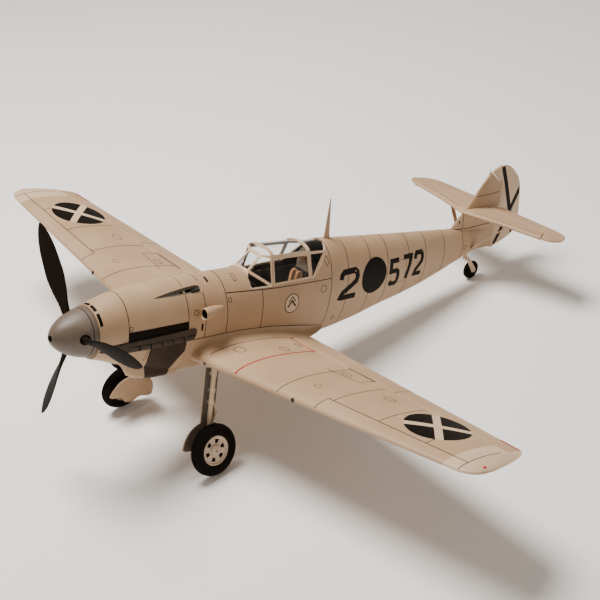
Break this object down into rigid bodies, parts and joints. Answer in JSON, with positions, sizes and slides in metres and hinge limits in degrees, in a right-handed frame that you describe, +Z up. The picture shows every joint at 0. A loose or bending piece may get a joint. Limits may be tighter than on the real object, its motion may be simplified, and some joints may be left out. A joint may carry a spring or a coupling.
{
  "type": "rc warbird plane",
  "caption": "Radio-controlled low-wing warbird standing on its wheels, with a propeller, framed canopy, moving control surfaces and outward-folding undercarriage.",
  "frame": {"origin": "on the ground plane, at the centre of the overall box in plan", "axes": "+Z up, -Y towards the nose, +X to the model's port side; the model stands nose up on its three wheels"},
  "size_m": [1.224, 1.0765, 0.4226],
  "materials": {
    "painted_shell": "satin warm grey paint",
    "leg_paint": "satin paint",
    "spinner_paint": "semi-gloss dark grey paint",
    "aluminium": "machined",
    "blade_plastic": "semi-gloss black-brown",
    "steel": "bright",
    "clear_plastic": "clear moulded plastic",
    "cockpit_plastic": "matt dark grey",
    "servo_plastic": "moulded",
    "exhaust_plastic": "matt dark brown",
    "plywood": "bare plywood",
    "battery_wrap": "heat-shrink wrap",
    "electronics": "heat-shrink wrap",
    "hub_plastic": "satin paint",
    "rubber": "matt black"
  },
  "bodies": {
    "airframe": {"aileron_servo_left": "servo_plastic", "aileron_servo_right": "servo_plastic", "antenna_mast": "painted_shell", "battery_pack": "battery_wrap", "cockpit_tub": "cockpit_plastic", "elevator_servo": "servo_plastic", "engine_cowl": "painted_shell", "exhaust_left": "exhaust_plastic", "exhaust_right": "exhaust_plastic", "firewall": "plywood", "fuselage": "painted_shell", "instrument_panel": "cockpit_plastic", "motor_stator": "steel", "pilot_seat": "cockpit_plastic", "rear_canopy_frame": "painted_shell", "rear_canopy_glass": "clear_plastic", "receiver": "electronics", "retract_unit_left": "servo_plastic", "retract_unit_right": "servo_plastic", "rudder_servo": "servo_plastic", "speed_controller": "electronics", "supercharger_intake": "painted_shell", "tailplane": "painted_shell", "tailplane_strut_left": "painted_shell", "tailplane_strut_right": "painted_shell", "windscreen_frame": "painted_shell", "windscreen_glass": "clear_plastic", "wing_left": "painted_shell", "wing_right": "painted_shell", "wing_spar": "aluminium"},
    "propeller": {"spinner": "spinner_paint", "spinner_backplate": "aluminium", "propeller": "blade_plastic", "prop_nut": "steel", "motor_bell": "aluminium"},
    "canopy": {"canopy_frame": "painted_shell", "canopy_glass": "clear_plastic"},
    "aileron_left": {"aileron_left": "painted_shell", "aileron_horn_left": "servo_plastic"},
    "aileron_right": {"aileron_right": "painted_shell", "aileron_horn_right": "servo_plastic"},
    "aileron_arm_left": {"aileron_arm_left": "servo_plastic"},
    "aileron_arm_right": {"aileron_arm_right": "servo_plastic"},
    "aileron_pushrod_left": {"aileron_pushrod_left": "steel"},
    "aileron_pushrod_right": {"aileron_pushrod_right": "steel"},
    "flap_left": {"flap_left": "painted_shell"},
    "flap_right": {"flap_right": "painted_shell"},
    "elevator": {"elevator": "painted_shell"},
    "rudder": {"rudder": "painted_shell"},
    "tail_fork": {"tail_fork": "leg_paint"},
    "tail_wheel": {"tail_wheel": "rubber"},
    "gear_left": {"gear_leg_left": "leg_paint", "gear_door_left": "painted_shell"},
    "gear_right": {"gear_leg_right": "leg_paint", "gear_door_right": "painted_shell"},
    "wheel_left": {"wheel_hub_left": "hub_plastic", "tyre_left": "rubber"},
    "wheel_right": {"wheel_hub_right": "hub_plastic", "tyre_right": "rubber"},
    "battery_hatch": {"battery_hatch": "painted_shell"}
  },
  "joints": [
    {"name": "propeller_spin", "type": "hinge", "parent": "airframe", "child": "propeller", "pos_m": [0, -0.49678, 0.28318], "axis": [0, 0.9703, -0.2419], "continuous": true},
    {"name": "canopy_hinge", "type": "hinge", "parent": "airframe", "child": "canopy", "pos_m": [-0.0456, -0.09406, 0.22018], "axis": [0, -0.9703, 0.2419], "range_deg": [0, 90]},
    {"name": "aileron_left_hinge", "type": "hinge", "parent": "airframe", "child": "aileron_left", "pos_m": [0.34, -0.13938, 0.1591], "axis": [0.9922, -0.0537, 0.1129], "range_deg": [-20, 20]},
    {"name": "aileron_right_hinge", "type": "hinge", "parent": "airframe", "child": "aileron_right", "pos_m": [-0.34, -0.13938, 0.1591], "axis": [0.9922, 0.0537, -0.1129], "range_deg": [-20, 20]},
    {"name": "aileron_arm_left_pivot", "type": "hinge", "parent": "airframe", "child": "aileron_arm_left", "pos_m": [0.4748, -0.19516, 0.18257], "axis": [0.9922, -0.0537, 0.1129], "range_deg": [-20, 20]},
    {"name": "aileron_arm_right_pivot", "type": "hinge", "parent": "airframe", "child": "aileron_arm_right", "pos_m": [-0.4748, -0.19516, 0.18257], "axis": [0.9922, 0.0537, -0.1129], "range_deg": [-20, 20]},
    {"name": "aileron_pushrod_left_pin", "type": "hinge", "parent": "aileron_arm_left", "child": "aileron_pushrod_left", "pos_m": [0.4782, -0.19878, 0.16802], "axis": [0.9922, -0.0537, 0.1129], "range_deg": [-20, 20]},
    {"name": "aileron_pushrod_right_pin", "type": "hinge", "parent": "aileron_arm_right", "child": "aileron_pushrod_right", "pos_m": [-0.4782, -0.19878, 0.16802], "axis": [0.9922, 0.0537, -0.1129], "range_deg": [-20, 20]},
    {"name": "flap_left_hinge", "type": "hinge", "parent": "airframe", "child": "flap_left", "pos_m": [0.076, -0.1251, 0.12907], "axis": [-0.9922, 0.0537, -0.1129], "range_deg": [0, 38]},
    {"name": "flap_right_hinge", "type": "hinge", "parent": "airframe", "child": "flap_right", "pos_m": [-0.076, -0.1251, 0.12907], "axis": [-0.9922, -0.0537, 0.1129], "range_deg": [0, 38]},
    {"name": "elevator_hinge", "type": "hinge", "parent": "airframe", "child": "elevator", "pos_m": [0, 0.43841, 0.14019], "axis": [1, 0, 0], "range_deg": [-25, 25]},
    {"name": "rudder_hinge", "type": "hinge", "parent": "airframe", "child": "rudder", "pos_m": [0, 0.46572, 0.10504], "axis": [0, 0.2419, 0.9703], "range_deg": [-25, 25]},
    {"name": "tail_wheel_steer", "type": "hinge", "parent": "airframe", "child": "tail_fork", "pos_m": [0, 0.38425, 0.06351], "axis": [0, 0.2419, 0.9703], "range_deg": [-25, 25]},
    {"name": "tail_wheel_spin", "type": "hinge", "parent": "tail_fork", "child": "tail_wheel", "pos_m": [0, 0.39883, 0.01865], "axis": [1, 0, 0], "continuous": true},
    {"name": "gear_left_retract", "type": "hinge", "parent": "airframe", "child": "gear_left", "pos_m": [0.08, -0.29225, 0.17344], "axis": [0.2984, -0.7671, 0.5679], "range_deg": [0, 82.5]},
    {"name": "gear_right_retract", "type": "hinge", "parent": "airframe", "child": "gear_right", "pos_m": [-0.08, -0.29225, 0.17344], "axis": [0.2984, 0.7671, -0.5679], "range_deg": [0, 82.5]},
    {"name": "wheel_left_spin", "type": "hinge", "parent": "gear_left", "child": "wheel_left", "pos_m": [0.12614, -0.34488, 0.04643], "axis": [0.9793, 0.0576, 0.1941], "continuous": true},
    {"name": "wheel_right_spin", "type": "hinge", "parent": "gear_right", "child": "wheel_right", "pos_m": [-0.12614, -0.34488, 0.04643], "axis": [0.9793, -0.0576, -0.1941], "continuous": true},
    {"name": "battery_hatch_lift", "type": "slide", "parent": "airframe", "child": "battery_hatch", "axis": [0, -0.2419, -0.9703], "range_m": [0, 0.03]}
  ],
  "couplings": [
    {"joint": "aileron_right_hinge", "follows": "aileron_left_hinge", "ratio": -1},
    {"joint": "aileron_arm_left_pivot", "follows": "aileron_left_hinge", "ratio": 1},
    {"joint": "aileron_arm_right_pivot", "follows": "aileron_left_hinge", "ratio": -1},
    {"joint": "aileron_pushrod_left_pin", "follows": "aileron_left_hinge", "ratio": -1},
    {"joint": "aileron_pushrod_right_pin", "follows": "aileron_left_hinge", "ratio": 1},
    {"joint": "flap_right_hinge", "follows": "flap_left_hinge", "ratio": 1},
    {"joint": "tail_wheel_steer", "follows": "rudder_hinge", "ratio": 1},
    {"joint": "gear_right_retract", "follows": "gear_left_retract", "ratio": 1}
  ]
}
